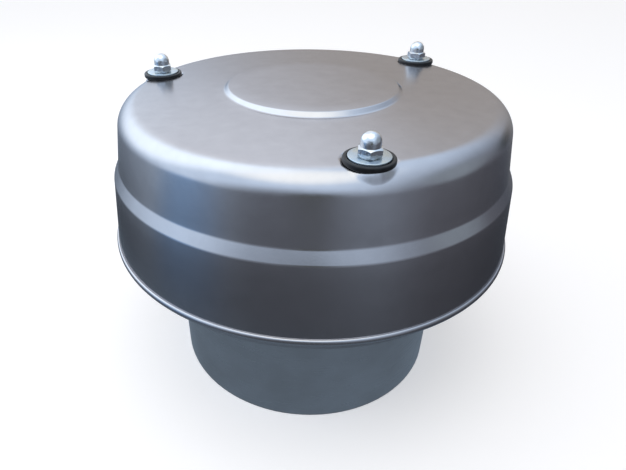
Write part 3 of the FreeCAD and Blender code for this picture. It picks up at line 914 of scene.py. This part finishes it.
# Lids and bridge: stainless sheet, cut and pressed. The pressure lid is a ring whose opening the vacuum
# lid shuts from below, and the bridge across it guides the vacuum lid's spindle.
# The sheet was brushed one way before it was cut: its brush lines are 0.1 mm wide and drawn as 0.5 mm.
brushed_stainless, tree, shader = start_material("stainless sheet, brushed one way")
shader.inputs["Metallic"].default_value = 1.0
place = add(tree, "ShaderNodeTexCoord")
along_brush = add(tree, "ShaderNodeVectorMath", {
    0: place.outputs["Object"],
    1: (1 / (24 * mm), 1 / (0.5 * mm), 1 / (0.5 * mm)),
}, operation="MULTIPLY")
brush_lines = add(tree, "ShaderNodeTexNoise", {
    "Vector": along_brush.outputs["Vector"],
    "Scale": 1.0,
    "Detail": 3.0,
})
tone = add(tree, "ShaderNodeValToRGB", {"Fac": brush_lines.outputs["Fac"]})
tone.color_ramp.elements[0].position = 0.3
tone.color_ramp.elements[0].color = linear("#b4b3b3")
tone.color_ramp.elements[1].position = 0.7
tone.color_ramp.elements[1].color = linear("#c8c7c8")
tree.links.new(tone.outputs["Color"], shader.inputs["Base Color"])
soft = add(tree, "ShaderNodeMapRange", {
    "Value": brush_lines.outputs["Fac"],
    "To Min": 0.2,
    "To Max": 0.4,
})
tree.links.new(soft.outputs["Result"], shader.inputs["Roughness"])
lined = add(tree, "ShaderNodeBump", {
    "Height": brush_lines.outputs["Fac"],
    "Strength": 1.0,
    "Distance": 0.02 * mm,
})
tree.links.new(lined.outputs["Normal"], shader.inputs["Normal"])
finish_nodes(brushed_stainless, "pressure_lid_plate", "vacuum_lid_disc", "guide_bridge")

# Gaskets: flat rings of moulded nitrile rubber, clamped under the pressure lid and on the vacuum lid.
# Moulding leaves an even matt skin, with a faint grey bloom in patches and a grain drawn as 0.6 mm.
nitrile_rubber, tree, shader = start_material("nitrile rubber, moulded")
place = add(tree, "ShaderNodeTexCoord")
bloom = add(tree, "ShaderNodeTexNoise", {
    "Vector": place.outputs["Object"],
    "Scale": 1 / (16 * mm),
    "Detail": 3.0,
})
skin_grain = add(tree, "ShaderNodeTexNoise", {
    "Vector": place.outputs["Object"],
    "Scale": 1 / (0.6 * mm),
    "Detail": 1.0,
})
tone = add(tree, "ShaderNodeValToRGB", {"Fac": bloom.outputs["Fac"]})
tone.color_ramp.elements[0].position = 0.4
tone.color_ramp.elements[0].color = linear("#18181a")
tone.color_ramp.elements[1].position = 0.8
tone.color_ramp.elements[1].color = linear("#2b2b2d")
tree.links.new(tone.outputs["Color"], shader.inputs["Base Color"])
dull = add(tree, "ShaderNodeMapRange", {
    "Value": bloom.outputs["Fac"],
    "To Min": 0.5,
    "To Max": 0.68,
})
tree.links.new(dull.outputs["Result"], shader.inputs["Roughness"])
grained = add(tree, "ShaderNodeBump", {
    "Height": skin_grain.outputs["Fac"],
    "Strength": 1.0,
    "Distance": 0.02 * mm,
})
tree.links.new(grained.outputs["Normal"], shader.inputs["Normal"])
finish_nodes(nitrile_rubber, "pressure_gasket", "vacuum_gasket")

# Bushes: turned from white acetal rod and pushed into the lid and the bridge. The lid's slide on the
# studs, and the spindle slides in the bridge's. Their off-white is even and slightly waxy, and the
# turning marks, about 0.1 mm apart, are drawn 0.5 mm apart.
acetal, tree, shader = start_material("acetal, turned")
shader.inputs["IOR"].default_value = 1.48
shader.inputs["Subsurface Weight"].default_value = 0.05
shader.inputs["Subsurface Radius"].default_value = (2 * mm, 1.6 * mm, 1.2 * mm)
place = add(tree, "ShaderNodeTexCoord")
turning = add(tree, "ShaderNodeVectorMath", {
    0: place.outputs["Object"],
    1: (1 / (12 * mm), 1 / (12 * mm), 1 / (0.5 * mm)),
}, operation="MULTIPLY")
turning_marks = add(tree, "ShaderNodeTexNoise", {
    "Vector": turning.outputs["Vector"],
    "Scale": 1.0,
    "Detail": 1.0,
})
tone = add(tree, "ShaderNodeValToRGB", {"Fac": turning_marks.outputs["Fac"]})
tone.color_ramp.elements[0].color = linear("#dcd9cf")
tone.color_ramp.elements[1].color = linear("#ebe9e2")
tree.links.new(tone.outputs["Color"], shader.inputs["Base Color"])
soft = add(tree, "ShaderNodeMapRange", {
    "Value": turning_marks.outputs["Fac"],
    "To Min": 0.3,
    "To Max": 0.45,
})
tree.links.new(soft.outputs["Result"], shader.inputs["Roughness"])
ridged = add(tree, "ShaderNodeBump", {
    "Height": turning_marks.outputs["Fac"],
    "Strength": 1.0,
    "Distance": 0.01 * mm,
})
tree.links.new(ridged.outputs["Normal"], shader.inputs["Normal"])
finish_nodes(acetal, "stud_guide_bushes", "spindle_bush")

# Inner fasteners and spring cups: steel nuts, washers, screws and pressed cups, zinc plated like the
# washers outside. They clamp the studs, the bridge and the vacuum lid, and set the springs.
finish_nodes(
    zinc_plate,
    "stud_base_washers",
    "stud_base_nuts",
    "lower_spring_cups",
    "upper_spring_cups",
    "spring_adjusting_nuts",
    "spring_lock_nuts",
    "hood_support_nuts",
    "hood_support_washers",
    "bridge_washers",
    "bridge_screws",
    "bridge_nuts",
    "disc_clamp_washers",
    "disc_clamp_nuts",
    "vacuum_spring_cup",
    "spindle_adjusting_nut",
    "spindle_lock_nut",
)

# Studs and spindle: M10 rods, zinc plated, with a rolled thread over their whole length and chamfered
# ends. The studs are clamped in the flange, and the spindle in the vacuum lid.
thread_pitch = 1.5
thread_root_r = 4.08
thread_crest_r = 4.98
thread_flank = 0.56
thread_crest = 0.19
thread_steps = 16
rod_chamfer = 1.0
rod_end_steps = 32


def cut_ends(piece, low_z, high_z):
    """Cuts a piece square at two heights and closes the cuts."""
    bpy.ops.object.mode_set(mode="EDIT")
    for height, upwards in ((low_z, -1), (high_z, 1)):
        bpy.ops.mesh.select_all(action="SELECT")
        bpy.ops.mesh.bisect(
            plane_co=(0, 0, height * mm),
            plane_no=(0, 0, upwards),
            use_fill=True,
            clear_outer=True,
        )
    bpy.ops.object.mode_set(mode="OBJECT")


def threaded_rod(name, low_z, high_z):
    """A chamfered rod on the Z axis, whose thread's outline is wound up round it."""
    turns = math.ceil((high_z - low_z) / thread_pitch) + 2
    rod = draw_outline(name, [
        (thread_root_r, low_z - thread_pitch, 0, 0),
        (thread_crest_r, low_z - thread_pitch + thread_flank, 0, 0),
        (thread_crest_r, low_z - thread_pitch + thread_flank + thread_crest, 0, 0),
        (thread_root_r, low_z - thread_pitch + 2 * thread_flank + thread_crest, 0, 0),
        (thread_root_r, low_z, 0, 0),
    ])
    apply_modifier(
        rod,
        "SCREW",
        axis="Z",
        angle=math.tau,
        steps=thread_steps,
        render_steps=thread_steps,
        screw_offset=thread_pitch * mm,
        iterations=turns,
        use_merge_vertices=True,
        merge_threshold=merge_reach,
    )
    cut_ends(rod, low_z, high_z)
    recalculate_normals(rod)
    limit = spun(name + "_limit", [
        (0.0, low_z, 0, 0),
        (thread_crest_r - rod_chamfer, low_z, 0, 0),
        (thread_crest_r + cut_margin, low_z + rod_chamfer + cut_margin, 0, 0),
        (thread_crest_r + cut_margin, high_z - rod_chamfer - cut_margin, 0, 0),
        (thread_crest_r - rod_chamfer, high_z, 0, 0),
        (0.0, high_z, 0, 0),
    ], rod_end_steps)
    apply_modifier(rod, "BOOLEAN", operation="INTERSECT", object=limit, solver="MANIFOLD")
    bpy.data.objects.remove(limit)
    rod.data.materials.clear()
    return rod


stud_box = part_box("studs")
studs = threaded_rod("threaded_studs", stud_box[0][2] / mm, stud_box[1][2] / mm)
studs.data.transform(Matrix.Translation(at_stud(stud_angles[0], 0)))
studs = at_each_stud(studs)
bpy.ops.object.shade_smooth_by_angle(angle=math.radians(28))
spindle_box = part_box("spindle")
spindle = threaded_rod("threaded_spindle", spindle_box[0][2] / mm, spindle_box[1][2] / mm)
bpy.ops.object.shade_smooth_by_angle(angle=math.radians(28))
for rod, body, node in ((studs, "casing", "studs"), (spindle, "vacuum_lid", "spindle")):
    rod.data.materials.append(zinc_plate)
    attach(rod, body)
    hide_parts(node)

# Springs: cold coiled from round spring wire, with their end turns closed and ground flat. Three stand
# on the pressure lid round the studs and hold it down, and one on the bridge pulls the vacuum lid shut.
pressure_spring_r = 11.5
pressure_wire_r = 1.5
pressure_turns = 9
vacuum_spring_r = 17.0
vacuum_wire_r = 1.25
vacuum_turns = 7
coil_steps = 24
wire_resolution = 4
end_turn = 0.75
end_blend = 0.5


def smooth(share):
    """A share from 0 to 1 that starts and ends softly."""
    share = min(max(share, 0.0), 1.0)
    return share * share * (3 - 2 * share)


def coiled_spring(name, centre, low_z, high_z, coil_r, wire_r, turns):
    """A spring whose turns open out from its closed ends, which are ground flat at two heights."""
    closed = 2 * wire_r
    opened = closed + (high_z - low_z - closed * turns) / (turns - 2)
    line = bpy.data.curves.new(name, "CURVE")
    line.dimensions = "3D"
    line.bevel_depth = wire_r * mm
    line.bevel_resolution = wire_resolution
    line.use_fill_caps = True
    run = line.splines.new("POLY")
    run.points.add(coil_steps * turns)
    height = low_z
    for index, point in enumerate(run.points):
        angle = math.tau * index / coil_steps
        point.co = (
            centre.x + coil_r * math.cos(angle) * mm,
            centre.y + coil_r * math.sin(angle) * mm,
            height * mm,
            1,
        )
        turn = (index + 0.5) / coil_steps
        openness = smooth((turn - end_turn) / end_blend) * smooth((turns - end_turn - turn) / end_blend)
        height += (closed + (opened - closed) * openness) / coil_steps
    spring = bpy.data.objects.new(name, line)
    bpy.context.scene.collection.objects.link(spring)
    select_only(spring)
    bpy.ops.object.convert(target="MESH")
    spring = bpy.context.object
    cut_ends(spring, low_z, high_z)
    recalculate_normals(spring)
    return spring


# Drawn spring wire: dark bright steel under a film of oil, with draw marks drawn as 0.8 mm.
spring_wire, tree, shader = start_material("spring steel wire, drawn and oiled")
shader.inputs["Metallic"].default_value = 1.0
place = add(tree, "ShaderNodeTexCoord")
draw_marks = add(tree, "ShaderNodeTexNoise", {
    "Vector": place.outputs["Object"],
    "Scale": 1 / (0.8 * mm),
    "Detail": 2.0,
    "Distortion": 1.0,
})
oil_film = add(tree, "ShaderNodeTexNoise", {
    "Vector": place.outputs["Object"],
    "Scale": 1 / (9 * mm),
    "Detail": 2.0,
})
tone = add(tree, "ShaderNodeValToRGB", {"Fac": oil_film.outputs["Fac"]})
tone.color_ramp.elements[0].position = 0.3
tone.color_ramp.elements[0].color = linear("#77797e")
tone.color_ramp.elements[1].position = 0.7
tone.color_ramp.elements[1].color = linear("#95969a")
tree.links.new(tone.outputs["Color"], shader.inputs["Base Color"])
soft = add(tree, "ShaderNodeMapRange", {
    "Value": oil_film.outputs["Fac"],
    "To Min": 0.22,
    "To Max": 0.4,
})
tree.links.new(soft.outputs["Result"], shader.inputs["Roughness"])
drawn_lines = add(tree, "ShaderNodeBump", {
    "Height": draw_marks.outputs["Fac"],
    "Strength": 1.0,
    "Distance": 0.01 * mm,
})
tree.links.new(drawn_lines.outputs["Normal"], shader.inputs["Normal"])

spring_cup_wall = 1.5
pressure_low_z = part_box("lower_spring_cups")[0][2] / mm + spring_cup_wall
pressure_high_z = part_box("upper_spring_cups")[1][2] / mm - spring_cup_wall
pressure_springs = coiled_spring(
    "lid_springs",
    at_stud(stud_angles[0], 0),
    pressure_low_z,
    pressure_high_z,
    pressure_spring_r,
    pressure_wire_r,
    pressure_turns,
)
pressure_springs = at_each_stud(pressure_springs)
bpy.ops.object.shade_smooth_by_angle(angle=math.radians(40))
vacuum_low_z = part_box("bridge_washers")[0][2] / mm
vacuum_high_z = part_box("vacuum_spring_cup")[1][2] / mm - spring_cup_wall
vacuum_spring = coiled_spring(
    "vacuum_return_spring",
    Vector((0, 0, 0)),
    vacuum_low_z,
    vacuum_high_z,
    vacuum_spring_r,
    vacuum_wire_r,
    vacuum_turns,
)
bpy.ops.object.shade_smooth_by_angle(angle=math.radians(40))
for spring in (pressure_springs, vacuum_spring):
    spring.data.materials.append(spring_wire)
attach(pressure_springs, "casing")
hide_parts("pressure_springs")
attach(vacuum_spring, "pressure_lid")
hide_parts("vacuum_spring")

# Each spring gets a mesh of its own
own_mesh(pressure_springs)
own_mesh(vacuum_spring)
